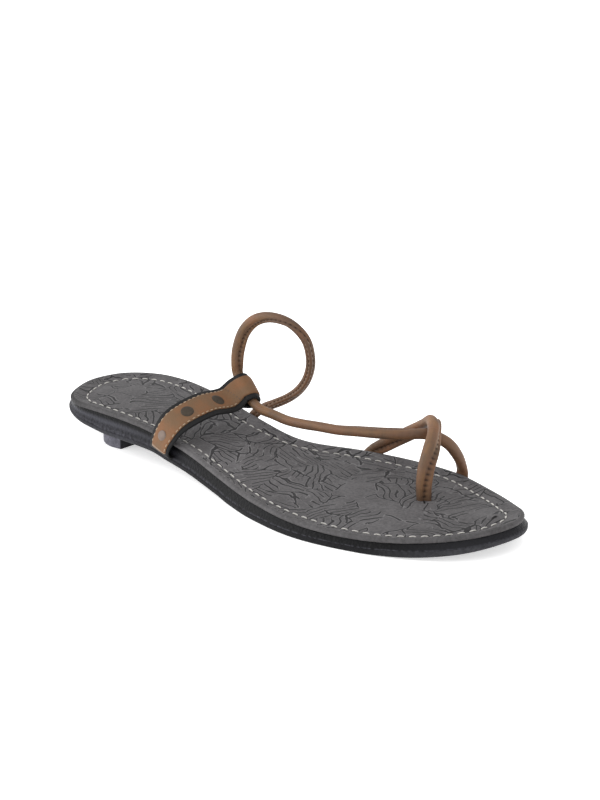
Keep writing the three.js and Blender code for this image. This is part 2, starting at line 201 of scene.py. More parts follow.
def curveThrough(rows, share, closed=False):
    # Centripetal Catmull-Rom curve: a cubic between neighbouring rows, with knots the square root of
    # their distance apart. Columns after x, y and z are carried by the same cubic.
    rows = np.asarray(rows, float)
    count = len(rows)
    place = np.asarray(share, float) * (count if closed else count - 1)
    if closed:
        first = np.floor(place).astype(int)
        p0, p1, p2, p3 = (rows[(first + k) % count] for k in (-1, 0, 1, 2))
    else:
        first = np.clip(np.floor(place).astype(int), 0, count - 2)
        reach = np.vstack([2 * rows[0] - rows[1], rows, 2 * rows[-1] - rows[-2]])
        p0, p1, p2, p3 = (reach[first + k] for k in range(4))
    w = (place - first)[:, None]
    d01, d12, d23 = (np.linalg.norm((b - a)[:, :3], axis=1)[:, None] ** 0.5
                     for a, b in ((p0, p1), (p1, p2), (p2, p3)))
    start = ((p1 - p0) / d01 - (p2 - p0) / (d01 + d12) + (p2 - p1) / d12) * d12
    end = ((p2 - p1) / d12 - (p3 - p1) / (d12 + d23) + (p3 - p2) / d23) * d12
    return (p1 + start * w + (3 * (p2 - p1) - 2 * start - end) * w ** 2
            + (2 * (p1 - p2) + start + end) * w ** 3)


def runAlong(points):
    # Distance along the path at each of its points.
    return np.concatenate([[0], np.cumsum(np.linalg.norm(np.diff(points, axis=0), axis=1))])


def readAlong(distance, values, at):
    # Each column of values at distances along a path, straight between the path's own points.
    return np.column_stack([np.interp(at, distance, column) for column in np.atleast_2d(values.T)])


def closedEnds(grid):
    # A grid of sections with its first and last drawn to a point, at their middle, and added on.
    first, last = (np.broadcast_to(grid[i].mean(axis=0), grid[i].shape)[None] for i in (0, -1))
    return np.concatenate([first, grid, last])


def endsTwice(values):
    # Values of the sections of such a grid, with the first and last repeated for the points.
    return np.concatenate([values[:1], values, values[-1:]])


def unit(vectors):
    # Vectors divided by their lengths.
    return vectors / np.linalg.norm(vectors, axis=-1, keepdims=True)


def tangentOf(rows, share, closed=False):
    # Direction between two points of the curve just before and after.
    step = 1e-4
    return unit(curveThrough(rows, share + step, closed)[:, :3]
                - curveThrough(rows, share - step, closed)[:, :3])


def squareTo(along, guide):
    # The guide with its part along the path taken out.
    return unit(guide - (guide * along).sum(axis=-1, keepdims=True) * along)


def gridQuads(rows, cols):
    # Faces between neighbouring points of a grid.
    first = (np.arange(rows - 1)[:, None] * cols + np.arange(cols - 1)).ravel()
    return np.stack([first, first + 1, first + cols + 1, first + cols], axis=1)


def addPiece(name, points, material, replaced=(), uv=None, marks=None, sharp=180):
    # Points are one grid (rows, cols, 3) or many equal ones (count, rows, cols, 3), each closed once
    # points that coincide are merged. Faces are turned outwards and the piece rides on the frame.
    rows, cols = points.shape[-3:-1]
    count = points.size // (rows * cols * 3)
    quads = (np.arange(count)[:, None, None] * rows * cols + gridQuads(rows, cols)).reshape(-1, 4)
    mesh = bpy.data.meshes.new(name)
    mesh.from_pydata((points.reshape(-1, 3) * mm).tolist(), [], quads.tolist())
    if uv is not None:
        layer = mesh.uv_layers.new(name="UVMap")
        layer.data.foreach_set("uv", uv.reshape(-1, 2)[quads.ravel()].ravel())
    for key, values in (marks or {}).items():
        layer = mesh.attributes.new(key, "FLOAT", "POINT")
        layer.data.foreach_set("value", values.ravel().astype(np.float32))
    shape = bmesh.new()
    shape.from_mesh(mesh)
    bmesh.ops.remove_doubles(shape, verts=shape.verts[:], dist=2e-7)
    bmesh.ops.recalc_face_normals(shape, faces=shape.faces[:])
    shape.to_mesh(mesh)
    shape.free()
    mesh.polygons.foreach_set("use_smooth", np.ones(len(mesh.polygons), bool))
    if sharp < 180:
        mesh.set_sharp_from_angle(angle=np.radians(sharp))
    mesh.materials.append(material)
    piece = bpy.data.objects.new(name, mesh)
    scene.collection.objects.link(piece)
    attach(piece, "root")
    if replaced:
        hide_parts(*replaced)
    print(f"{name}: {len(mesh.polygons)} faces")


# The sole: outline, side view and layers

plan = columns("y inner outer", [
    (-30.3, -4.3, -4.3),
    (-26.5, -17.8, 10.2),
    (-20.5, -23.9, 19.5),
    (-10.5, -28.5, 25.3),
    (4.5, -30.3, 26.4),
    (30.5, -27.7, 26.6),
    (58.5, -24.1, 27.6),
    (84.5, -24.2, 32.7),
    (111.5, -36.7, 39.9),
    (135.5, -43, 43.6),
    (159.5, -43.8, 40.8),
    (182.5, -34.9, 33.3),
    (201.5, -23.6, 21.8),
    (211.5, -15.6, 9.9),
    (215.7, -4.8, -4.8),
])
# Heights of the footbed's top and the underside, thickness of the outsole, and how far it stands
# out past the footbed. Inset and rise round its lower edge, and dish hollows the midsole's wall.
profile = columns("y top under outsole rim", [
    (-30.3, 20.5, 13.6, 3.2, 1.2),
    (-14.5, 21.2, 12, 3.2, 0.7),
    (-0.5, 21.7, 9.9, 3.2, 0.6),
    (10.5, 21.7, 8.8, 3.2, 0.6),
    (30.5, 20.8, 8.5, 3.1, 0.6),
    (38.5, 19.9, 8.2, 3, 0.7),
    (49.5, 17.9, 6.2, 2.9, 0.8),
    (58.5, 16.3, 5, 2.8, 0.9),
    (71.5, 13.9, 3.4, 2.7, 1.1),
    (84.5, 11.4, 1.9, 2.6, 1.4),
    (94.5, 10, 0.6, 2.6, 1.6),
    (111.5, 8.7, 0, 2.6, 1.8),
    (135.5, 7.8, 0, 2.6, 1.4),
    (155.5, 7.4, 0, 2.6, 1),
    (166.5, 7.6, 0, 2.6, 0.8),
    (182.5, 8.6, 0.6, 3, 1),
    (201.5, 10.9, 2.9, 2.9, 1.4),
    (215.7, 13, 6, 2.6, 1.6),
])
lowerEdge = columns("y inset rise dish", [
    (-30.3, 4, 2.2, 0.6),
    (20.5, 4, 2.2, 0.6),
    (60.5, 2, 1.5, 0.4),
    (84.5, 1, 0.9, 0.2),
    (170.5, 1, 0.9, 0),
    (215.7, 2, 1.3, 0),
])
outlinePoints = np.concatenate([
    np.column_stack([plan["outer"], plan["y"]])[:-1],
    np.column_stack([plan["inner"], plan["y"]])[:0:-1],
])
sideStations = 270  # steps from heel to toe


def soleStations():
    # Shares of the outline at even steps of its length, up the outer side and down the other.
    fine = np.linspace(0, 1, 4001)
    points = curveThrough(outlinePoints, fine, closed=True)
    length = runAlong(points)
    toe = length[len(fine) // 2]
    marks = np.concatenate([np.linspace(0, toe, sideStations + 1),
                            np.linspace(toe, length[-1], sideStations + 1)[1:]])
    return np.interp(marks, length, fine)


stations = soleStations()
outline = curveThrough(outlinePoints, stations, closed=True)
outlineAlong = tangentOf(outlinePoints, stations, closed=True)
outward = np.column_stack([outlineAlong[:, 1], -outlineAlong[:, 0]])


topOf, underOf, rimOf = (partial(readColumn, profile, name) for name in ("top", "under", "rim"))


def outsoleTop(y):
    # The underside with the outsole's thickness on it.
    return underOf(y) + readColumn(profile, "outsole", y)


def soleRing(offset, height, share=0):
    # The outline moved square to itself by offset, then drawn towards the sole's middle line by
    # share. Offset goes by y on the outline, and height by y once drawn in.
    ring = outline + outward * np.reshape(offset(outline[:, 1]), (-1, 1))
    place = ring + ((ring + ring[::-1]) / 2 - ring) * share
    y = outline[:, 1] * (1 - share) + (outline[:, 1] + outline[::-1, 1]) / 2 * share
    return np.column_stack([place, height(y)])


footbed = {
    "thickness": 2.4,
    "edgeReach": 1.3,  # how far in the rounding of the wrapped edge goes
    "stitchInset": [  # at even steps round the outline, from the heel up the outer side
        7.7, 8.5, 6.8, 5.8, 5.3, 6.8, 6.5, 6.1, 6.2, 7.5, 6.6, 5.4, 5.5, 5.9,
        8.1, 7.7, 7.4, 6.9, 6.9, 7.3, 6.7, 6.7, 8.1, 7.4, 7.5, 6.4, 7.6, 7.7],
    "dish": 1.1,  # how far the stitching lies below the rim
    "crown": 0.8,  # how far the padded middle rises again
    "wrapInset": 2.6,  # where the wrapped edge's padding ends
    "puff": 0.16,  # and how high it is
    "grooveDepth": 0.28,  # pulled down by the thread
    "grooveWidth": 0.8,
    "flatFrom": 10.6,  # where the padded middle starts
    "edgeLevels": 13,
    "ringStep": 0.4,
    "crownRings": 31,
}


def stitchInset():
    # The stitching's distance in from the edge at each station of the outline, smoothed by a bell.
    table = np.array(footbed["stitchInset"])
    share = np.arange(len(outline)) / (len(outline) - 1)
    smooth = np.interp(share, np.linspace(0, 1, len(table)), table)
    reach = 24  # stations that the smoothing takes in on either side
    wave = np.exp(-np.linspace(-2, 2, 2 * reach + 1) ** 2)
    padded = np.concatenate([smooth[-reach - 1:-1], smooth, smooth[1:reach + 1]])
    return np.convolve(padded, wave / wave.sum(), "valid")


def footbedHeight(inset):
    # Height over the rim at a distance in from the edge, for each station: a low roll at the wrapped
    # edge, an s-shaped fall to the dish, with u from 0 at the edge to 1 at the stitching, and a groove
    # along the stitching.
    seam = stitchInset()
    u = np.clip((inset - 1) / (seam - 1), 0, 1)
    roll = footbed["puff"] * np.exp(-((inset - footbed["wrapInset"]) / 1.0) ** 2)
    groove = footbed["grooveDepth"] * np.exp(-((inset - seam) / footbed["grooveWidth"]) ** 2)
    return roll - footbed["dish"] * u * u * (3 - 2 * u) - groove


def footbedGrid():
    # From the middle of the underside out, round the half-oval edge and over the top to the middle,
    # where the crown rises as (1 - (1 - share)^2)^2. Each ring is marked with its distance in.
    reach, half, flat = footbed["edgeReach"], footbed["thickness"] / 2, footbed["flatFrom"]
    rings = [soleRing(lambda y: -reach, lambda y: topOf(y) - 2 * half, share)
             for share in (1, 0.5)]
    for angle in np.radians(np.linspace(-90, 90, footbed["edgeLevels"])):
        rings.append(soleRing(lambda y: reach * (np.cos(angle) - 1),
                              lambda y: topOf(y) - half + half * np.sin(angle)))
    insets = [0] * len(rings)
    for inset in np.arange(reach + footbed["ringStep"], flat, footbed["ringStep"]):
        rings.append(soleRing(lambda y: -inset, lambda y: topOf(y) + footbedHeight(inset)))
        insets.append(inset)
    for share in np.linspace(0, 1, footbed["crownRings"]) ** 1.5:
        rise = footbed["crown"] * (1 - (1 - share) ** 2) ** 2
        rings.append(soleRing(lambda y: -flat, lambda y: topOf(y) - footbed["dish"] + rise, share))
        insets.append(flat)
    return np.stack(rings, axis=1), np.tile(insets, (len(outline), 1))


midsole = {
    "lip": 0.2,  # how far its foot stands in from the outsole's rim
    "inset": 0.7,  # and its top from the footbed's edge
    "levels": 14,
    "overlap": 0.1,  # with the layers over and under it
}


def midsoleGrid():
    # The wall runs from the outsole's rim, t = 0, up to the inset under the footbed, t = 1, and is
    # hollowed by the dish as sin(pi t). Each ring is marked with its t.
    count, overlap = midsole["levels"], midsole["overlap"]
    levels = [0, 0, *np.linspace(0, 1, count), 1, 1]
    rings = [soleRing(lambda y: (rimOf(y) - midsole["lip"]) * (1 - t) - midsole["inset"] * t
                      - readColumn(lowerEdge, "dish", y) * np.sin(np.pi * t),
                      lambda y: ((outsoleTop(y) - overlap) * (1 - t)
                                 + (topOf(y) - footbed["thickness"] + overlap) * t), share)
             for t, share in zip(levels, [1, 0.5, *[0] * count, 0.5, 1])]
    return np.stack(rings, axis=1), np.tile(levels, (len(outline), 1))


outsole = {
    "edgeLevels": 9,
    "underLevels": 11,
    "bevel": (0.15, 0.25),  # in and down, at the upper edge
    "topReach": 3,  # how far in the ledge under the midsole goes
    "treadPitch": 4.0,  # from rib to rib on the underside
}


def outsoleGrid():
    # The flat underside, a quarter round to the rim, the upright rim, and a ledge under the midsole.
    # The underside inside its edge is marked for the tread.
    def edgeInset(y):
        return readColumn(lowerEdge, "inset", y)

    shares = np.linspace(1, 0, outsole["underLevels"] + 1)[:-1]
    rings = [soleRing(lambda y: rimOf(y) - edgeInset(y), underOf, share) for share in shares]
    for angle in np.radians(np.linspace(0, 90, outsole["edgeLevels"])):
        rings.append(soleRing(
            lambda y: rimOf(y) - edgeInset(y) * (1 - np.sin(angle)),
            lambda y: underOf(y) + readColumn(lowerEdge, "rise", y) * (1 - np.cos(angle))))
    rings.append(soleRing(rimOf, lambda y: outsoleTop(y) - outsole["bevel"][1]))
    rings.append(soleRing(lambda y: rimOf(y) - outsole["bevel"][0], outsoleTop))
    rings += [soleRing(lambda y: rimOf(y) - outsole["topReach"], outsoleTop, share)
              for share in (0, 0.5, 1)]
    tread = np.where(np.arange(len(rings)) < len(shares), 1.0, 0)
    return np.stack(rings, axis=1), np.tile(tread, (len(outline), 1))


heelBlock = {  # rear, widest and breast are places along the sole
    "halfWidth": 18.4,
    "rear": -10.5,
    "widest": 5.5,
    "breast": 12.3,
    "drawIn": 0.5,  # how much narrower it is at the breast
    "skew": 0.1,  # how much further back the breast lies for each mm to the outer side
    "cornerCut": 0.3,  # where the rounding of an upright corner starts
    "footRound": 0.3,
    "middle": (0, 2.0),
    "overlap": 0.2,  # with the outsole
}


def heelOutline():
    # Half an ellipse at the back, sides that draw in a little and a flat, skewed breast. Corners
    # are cut three times, each cut a quarter of the way along the two sides.
    angle = np.radians(np.linspace(-90, 90, 61))
    depth = heelBlock["widest"] - heelBlock["rear"]
    back = np.column_stack([heelBlock["halfWidth"] * np.sin(angle),
                            heelBlock["widest"] - depth * np.cos(angle)])
    half, cut = heelBlock["halfWidth"] - heelBlock["drawIn"], heelBlock["cornerCut"]
    breast = np.array([half, half - cut, 0, cut - half, -half])
    front = np.column_stack([breast, heelBlock["breast"] - heelBlock["skew"] * breast])
    ring = np.concatenate([back, front])
    for _ in range(3):
        following = np.roll(ring, -1, axis=0)
        ring = np.stack([ring * 0.75 + following * 0.25, ring * 0.25 + following * 0.75],
                        axis=1).reshape(-1, 2)
    return np.concatenate([ring, ring[:1]])


def heelBlockGrid():
    # From the middle of the foot out, round its lower edge, up the wall and over to the middle. The
    # breast is marked for painted shade, and the foot's tread is marked.
    ring, middle = heelOutline(), np.array(heelBlock["middle"])
    across = np.gradient(ring[:-1], axis=0)
    out = unit(np.column_stack([across[:, 1], -across[:, 0]]))
    out = np.concatenate([out, out[:1]])
    size, level = heelBlock["footRound"], 0 * ring[:, 0]
    rings = [np.column_stack([middle + (ring - middle) * share, level]) for share in (0, 0.5)]
    for angle in np.radians(np.linspace(0, 90, 5)):
        rings.append(np.column_stack([ring - out * size * (1 - np.sin(angle)),
                                      level + size * (1 - np.cos(angle))]))
    for place in (ring, middle + 0 * ring):
        rings.append(np.column_stack([place, underOf(place[:, 1]) + heelBlock["overlap"]]))
    points = np.stack(rings, axis=1)
    fromBreast = heelBlock["breast"] - heelBlock["skew"] * points[..., 0] - points[..., 1]
    return points, {"breast": np.clip(1.2 - fromBreast / 0.5, 0, 1), "tread": points[..., 2] < 1e-6}


# Stitches: small swollen threads that dip at both ends


stitches = {  # from stitch to stitch, its size, height over width, swell of its middle and depth set in
    name: dict(zip("pitch length width flatness rise sink".split(), row)) for name, *row in [
        ("footbed", 4.95, 3.3, 0.72, 0.7, 0.3, 0.3),
        ("facing", 2.45, 1.6, 0.55, 0.7, 0.1, 0.16),
        ("cord", 2.4, 1.35, 0.42, 0.7, 0.1, 0.08),
    ]
}


def stitchGrids(centre, along, up, size):
    # Each stitch is a tube along s from -1 to 1. Its radius falls off as (1 - s^6)^0.5 and its middle
    # rises as 1 - s^2.
    s = np.linspace(-1, 1, 9)[:, None]
    angle = np.linspace(0, 2 * np.pi, 9)[None, :]
    radius = size["width"] / 2 * np.sqrt(1 - s ** 6)
    run = size["length"] / 2 * s + 0 * angle
    side = radius * np.cos(angle)
    lift = radius * np.sin(angle) * size["flatness"] + size["rise"] * (1 - s ** 2) - size["sink"]
    across = np.cross(up, along)
    return (centre[:, None, None, :] + run[..., None] * along[:, None, None, :]
            + side[..., None] * across[:, None, None, :] + lift[..., None] * up[:, None, None, :])


def footbedStitchGrids(size):
    # Stitches at even steps along the outline set in by the stitching's distance.
    ring = soleRing(lambda y: -stitchInset(), lambda y: topOf(y) - footbed["dish"])
    length = runAlong(ring)
    count = int(round(length[-1] / size["pitch"]))
    marks = (np.arange(count) + 0.5) * length[-1] / count
    ahead, behind = (readAlong(length, ring, marks + step) for step in (0.4, -0.4))
    along = unit(ahead - behind)
    return stitchGrids((ahead + behind) / 2, along, squareTo(along, np.array([[0, 0, 1.0]])), size)


# The slit is drawn as a flat dark mark: painted shade where the toe strand goes into the cover.
slit = {  # cut in the cover where the toe strand goes through
    "place": (-6.3, 167.7),
    "heading": 50,
    "length": 4.4,
    "width": 1.1,
    "flatness": 0.35,
    "rise": 0.05,
    "sink": 0.02,
}


def slitGrids():
    # One flat dark stitch-shaped mark on the cover, painted shade in the slit, turned by heading from
    # straight ahead to +X.
    x, y = slit["place"]
    turn = np.radians(slit["heading"])
    height = topOf(y) - footbed["dish"] + footbed["crown"]
    return stitchGrids(np.array([[x, y, height]]), np.array([[np.sin(turn), np.cos(turn), 0.0]]),
                       np.array([[0, 0, 1.0]]), slit)


# The instep band, its facing and rivets

bandRows = columns("x y z skew drop width", [
    (18, 47, 10.8, 3, 10.5, 13),
    (26, 47.1, 10.8, 3, 10.5, 13),
    (29, 47.2, 11.6, 5, 13, 13),
    (29.9, 47.5, 13.9, 9, 18, 13),
    (29.7, 48.6, 17.3, 11, 20.5, 13.4),
    (28.4, 50.2, 21.1, 9, 21.5, 14.4),
    (24.9, 51.9, 25.3, 7, 22.3, 15.2),
    (19.6, 54.1, 28.2, 6, 23, 15.5),
    (7.7, 56.4, 30.3, 8, 25, 15.5),
    (-5.6, 57.8, 29.3, 15, 28.5, 15.5),
])
sleeve = {
    "centre": (-15.7, 59.9, 31.2),
    "skew": 22,
    "drop": 30.5,
    "up": (0.2, 0.52, 0.83),
    "neck": (-4.3, 1.3),  # folds of the section, out from the strap and up
    "returns": [(-4.3, -2.3), (-8.2, -2.9)],
    "radius": 3.4,
    "arc": 112,  # degrees either side of straight out
    "arcSteps": 8,
    "width": 15.5,
}


def acrossOf(skew, drop):
    # Direction of the band's width: turned by skew from straight ahead towards +X, and down by drop.
    s, d = np.radians(skew), np.radians(drop)
    return np.stack([np.sin(s) * np.cos(d), np.cos(s) * np.cos(d), -np.sin(d)], axis=-1)


def bandTable():
    # Rows of middle, direction across and width: first the band's, then the folds of the sleeve.
    flat = np.column_stack([bandRows["x"], bandRows["y"], bandRows["z"],
                            acrossOf(bandRows["skew"], bandRows["drop"]), bandRows["width"]])
    across = acrossOf(sleeve["skew"], sleeve["drop"])
    out = unit(np.cross(sleeve["up"], across))
    up = np.cross(across, out)
    angle = np.radians(np.linspace(sleeve["arc"], -sleeve["arc"], sleeve["arcSteps"] + 1))
    folds = np.vstack([sleeve["neck"],
                       sleeve["radius"] * np.column_stack([np.cos(angle), np.sin(angle)]),
                       sleeve["returns"]])
    centre = np.array(sleeve["centre"]) + folds[:, :1] * out + folds[:, 1:] * up
    rest = np.tile([*across, sleeve["width"]], (len(folds), 1))
    return np.vstack([flat, np.column_stack([centre, rest])])


bandLine = bandTable()
bandShare = np.linspace(0, 1, 4001)
bandRun = runAlong(curveThrough(bandLine[:, :3], bandShare))


def bandFrame(distance):
    # Middle, directions along, across and out, and width at distances from the band's hidden end.
    share = np.interp(distance, bandRun, bandShare)
    centre = curveThrough(bandLine[:, :3], share)
    along = tangentOf(bandLine[:, :3], share)
    turn = readAlong(np.arange(len(bandLine)), bandLine[:, 3:], share * (len(bandLine) - 1))
    across = squareTo(along, turn[:, :3])
    return centre, along, across, np.cross(across, along), turn[:, 3]


def onBand(distance, side, height):
    # Points beside the band's middle line: side across it and height out of it.
    centre, _, across, out, _ = bandFrame(distance)
    return centre + across * np.reshape(side, (-1, 1)) + out * np.reshape(height, (-1, 1))


band = {
    "thickness": 1.4,
    "step": 0.7,
    "hidden": 4,  # where it starts along its path, inside the sole
}
facing = {  # start, end and stitched are distances along the band from its hidden end
    "start": 13.6,
    "end": 78,
    "stitched": (15.5, 62),
    "rearInset": 2.2,  # bare border of the band behind
    "frontInset": ([13, 32], [1.2, 2.5]),  # and in front, by distance from the hidden end
    "low": 0.5,  # its back, out of the band's middle
    "high": 1.35,  # and its edges
    "edge": 0.45,  # radius of its upper edges
    "crown": 0.12,
    "stitchInset": 0.35,
    "grooveDepth": 0.1,
    "grooveWidth": 0.4,
    "cutEnd": 0.35,  # half the width of the bare cut edge
    "cutLift": 0.03,
}


def stripGrid(distance, section):
    # Sections of a strip. For the band's widths, section gives each point's place across the band
    # and out of it.
    centre, _, across, out, width = bandFrame(distance)
    side, height = section(width[:, None])
    return closedEnds(centre[:, None] + side[..., None] * across[:, None]
                      + height[..., None] * out[:, None])


def bandGrid():
    # Section of two half rounds joined by straight sides.
    half = band["thickness"] / 2
    angle = np.radians(np.concatenate([np.linspace(-90, 90, 9), np.linspace(90, 270, 9), [-90]]))
    turn = np.concatenate([np.ones(9), -np.ones(9), [1]])
    count = int((bandRun[-1] - band["hidden"]) / band["step"])
    return stripGrid(np.linspace(band["hidden"], bandRun[-1], count),
                     lambda width: (turn * (width / 2 - half) + half * np.cos(angle),
                                    half * np.sin(angle) + 0 * width))


def facingSides(distance, width):
    # Where the facing's rear and front edges lie across the band.
    front = np.reshape(np.interp(distance, *facing["frontInset"]), np.shape(width))
    return facing["rearInset"] - width / 2, width / 2 - front


def facingGrid(start, end, lift=0):
    # Section with rounded upper edges, a low crown and a groove along each row of stitches, with q
    # from -1 at its rear edge to 1 at its front.
    q = np.linspace(-1, 1, 41)
    distance = np.linspace(start, end, max(2, int((end - start) / band["step"])))

    def section(width):
        rear, front = facingSides(distance, width)
        fromEdge = (front - rear) / 2 * (1 - np.abs(q))
        rounding = np.clip(1 - fromEdge / facing["edge"], 0, 1)
        groove = np.exp(-((fromEdge - facing["stitchInset"]) / facing["grooveWidth"]) ** 2)
        top = (facing["high"] + facing["crown"] * (1 - q ** 2) - facing["grooveDepth"] * groove
               - facing["edge"] * (1 - np.sqrt(1 - rounding ** 2)))
        low = facing["low"] + 0 * width
        side = (rear + front) / 2 + (front - rear) / 2 * q
        return (np.concatenate([side, front, rear, rear], axis=1),
                np.concatenate([top, low, low, top[:, :1]], axis=1) + lift)

    return stripGrid(distance, section)


crossRow = {  # short stitches across the facing just past the ends of its rows
    "past": 0.6,
    "count": 6,
    "lift": 0.1,
    "length": 1.0,
    "width": 0.5,
    "flatness": 0.5,
    "rise": 0.05,
    "sink": 0.06,
}


def facingStitchGrids(size):
    # Two rows set in from the facing's edges.
    marks = np.arange(*facing["stitched"], size["pitch"])
    _, along, _, out, width = bandFrame(marks)
    rear, front = facingSides(marks, width)
    return np.concatenate([stitchGrids(onBand(marks, side, facing["high"]), along, out, size)
                           for side in (rear + facing["stitchInset"], front - facing["stitchInset"])])


def crossRowGrids():
    # Evenly spaced from a tenth of the facing's width to nine tenths.
    marks = np.full(crossRow["count"], facing["stitched"][1] + crossRow["past"])
    _, _, across, out, width = bandFrame(marks)
    rear, front = facingSides(marks, width)
    side = rear + (front - rear) * np.linspace(0.1, 0.9, len(marks))
    return stitchGrids(onBand(marks, side, facing["high"] + crossRow["lift"]), across, out, crossRow)


rivets = {
    "places": [20, 35, 52.4],  # along the band from its hidden end
    "radius": [2.35, 3.0, 3.15],
    "sink": 0.15,  # into the facing
    "rim": 0.2,  # upright edge under the dome
    "rise": 0.42,
}


def rivetGrid(distance, size):
    # A low dome turned about the band's normal: a rim, then size * cos^0.55 and rise * sin^1.3.
    centre, along, across, out, _ = bandFrame(np.array([distance]))
    seat = facing["high"] - rivets["sink"]
    dome = np.radians(np.linspace(0, 90, 12))
    radius = np.concatenate([[0, size - rivets["rim"]], size * np.cos(dome) ** 0.55])
    height = np.concatenate([[0, 0], rivets["rim"] + rivets["rise"] * np.sin(dome) ** 1.3]) + seat
    radius[-1] = 0
    angle = np.linspace(0, 2 * np.pi, 49)[:, None]
    turned = np.stack([radius * np.cos(angle), radius * np.sin(angle), height + 0 * angle], axis=-1)
    return centre + turned @ np.vstack([along, across, out])


# The cords: leather rolled round a core, with a stitched flange along one side

mainCord = columns("x y z tube deep flange heading lift", [
    (-19.5, 54.3, 12.5, 3.4, 1.9, 2.2, 0, 0),
    (-22.5, 54.3, 12.5, 3.4, 1.9, 2.2, 0, 0),
    (-25.7, 54.4, 13.3, 3.4, 2, 2.2, 0, 0),
    (-26.8, 55.1, 15.3, 3.5, 2.6, 1.7, 0, 0),
    (-27.7, 57.6, 17.6, 3.8, 3.4, 1.4, -10, 5),
    (-28.5, 60.8, 19.7, 4.2, 4.2, 1.4, -25, 12),
    (-29.3, 64.7, 21.8, 4.4, 4.4, 1.4, -35, 20),
    (-30.2, 73.3, 26.8, 4.6, 4.4, 1.4, -40, 22),
    (-29.2, 81.2, 33.3, 4.7, 4.4, 1.4, -40, 22),
    (-27.4, 87.1, 41.2, 4.7, 4.4, 1.4, -45, 22),
    (-25.1, 90.3, 50.3, 4.7, 4.4, 1.4, -50, 22),
    (-22.7, 89.2, 60, 4.4, 4.4, 1.4, -55, 10),
    (-20.2, 82.6, 66.5, 4.2, 4.3, 0.7, -50, -20),
    (-18.8, 72.8, 68.1, 4.2, 4.3, 0.7, -30, -35),
    (-18.7, 63.4, 65.1, 4.4, 4.4, 1.2, 10, -15),
    (-18.9, 56.4, 58.3, 4.6, 4.5, 1.5, 10, 0),
    (-18.6, 52.9, 48.9, 4.8, 4.6, 1.6, 10, 0),
    (-18.5, 52.2, 42.6, 4.7, 4.5, 1.5, 10, 0),
    (-18.8, 52, 37.6, 4.3, 4.4, 0.8, 30, 0),
    (-17.6, 55.1, 34.2, 4.2, 4.3, 0.5, 60, -10),
    (-13.9, 64.3, 28.4, 4.3, 4.4, 0.4, 100, -20),
    (-12.4, 71.2, 25.7, 4.8, 4.4, 0.6, 125, -20),
    (-12.3, 78.9, 25, 4.6, 4.4, 1.1, 130, -15),
    (-10.7, 88.8, 25.1, 4.4, 4.4, 1.4, 130, -5),
    (-9.4, 98.8, 26.2, 4.4, 4.4, 1.4, 130, 0),
    (-8.7, 108.8, 27.5, 4.4, 4.4, 1.4, 130, 0),
    (-8.9, 118.9, 28.4, 4.4, 4.4, 1.4, 130, 5),
    (-10.7, 128.8, 29.5, 4.4, 4.4, 1.4, 130, 15),
    (-14.1, 138.2, 29.9, 4.4, 4.4, 1.4, 130, 25),
    (-19.7, 146.6, 29.9, 4.4, 4.4, 1.4, 130, 25),
    (-27.2, 153.6, 29.2, 4.8, 4.9, 1.1, 135, 0),
    (-34.9, 158.4, 24.2, 5, 5.2, 0.9, 145, -10),
    (-41, 159.9, 17.1, 5.1, 4.9, 0.8, 160, 0),
    (-44.4, 160.4, 10.9, 4.8, 3.9, 0.6, 180, 0),
    (-45.5, 160.5, 7.2, 5.4, 2.3, 0.6, 180, 0),
    (-44.5, 160.4, 4.4, 6.7, 1.9, 0.6, 180, 0),
    (-41.6, 160.4, 3.85, 6.7, 1.9, 0.6, 180, 0),
    (-38.5, 160.4, 3.85, 6.7, 1.9, 0.6, 180, 0),
])
toeStrand = columns("x y z tube deep flange heading lift", [
    (-32.9, 112, 4.95, 3.4, 1.9, 2.6, 0, 0),
    (-35.9, 112, 4.95, 3.4, 1.9, 2.6, 0, 0),
    (-39.2, 112.1, 5.4, 3.4, 1.9, 2.6, 0, 0),
    (-40.8, 113.3, 6.8, 3.5, 2.3, 2.5, 0, 0),
    (-41.3, 116, 8.6, 3.9, 3.2, 2.5, 0, 0),
    (-41.6, 120.5, 11.6, 4.3, 4.2, 2.6, 0, 0),
    (-42.1, 126.9, 15.9, 4.5, 4.4, 2.4, 0, 0),
    (-41.6, 133.4, 20.1, 4.5, 4.4, 2.4, 0, 0),
    (-40.5, 139.5, 24.2, 4.5, 4.4, 2.4, 5, 0),
    (-38.1, 145.5, 28.6, 4.5, 4.4, 2.4, 20, 0),
    (-34.2, 151.3, 32.8, 4.6, 5.2, 2.2, 60, -8),
    (-28.6, 156.6, 33.1, 4.8, 5.8, 1.9, 80, -24),
    (-22.1, 160.7, 30.5, 5.5, 4.6, 1.8, 72, -20),
    (-16.2, 163.2, 26.3, 5.7, 4.4, 1.9, 50, -5),
    (-11.5, 164.4, 20.5, 5.2, 4.3, 2.1, 34, 0),
    (-9.2, 165.1, 13.5, 4.5, 4.1, 2.4, 22, 0),
    (-8.9, 165.7, 6.5, 4, 4, 2.6, 15, 0),
    (-8.8, 165.9, 5, 4, 4, 2.6, 15, 0),
])
cord = {
    "flangeThickness": 1.7,
    "sections": 3.2,  # to each millimetre
    "around": 54,
    "crowding": 0.72,  # how closely points gather at the flange
    "girth": 12,  # once round, for the streaks and creases
    "soft": 0.12,  # how softly core and flange meet
    "grooveShare": 0.9,  # of the angle at which they meet, where the holes lie
    "flangeReach": 0.09,  # how far a hole reaches over the flange, in radians
    "holeDepth": 0.4,
    "betweenHoles": 0.25,  # how much of that depth the groove has between them
    "threadSink": 0.02,
}


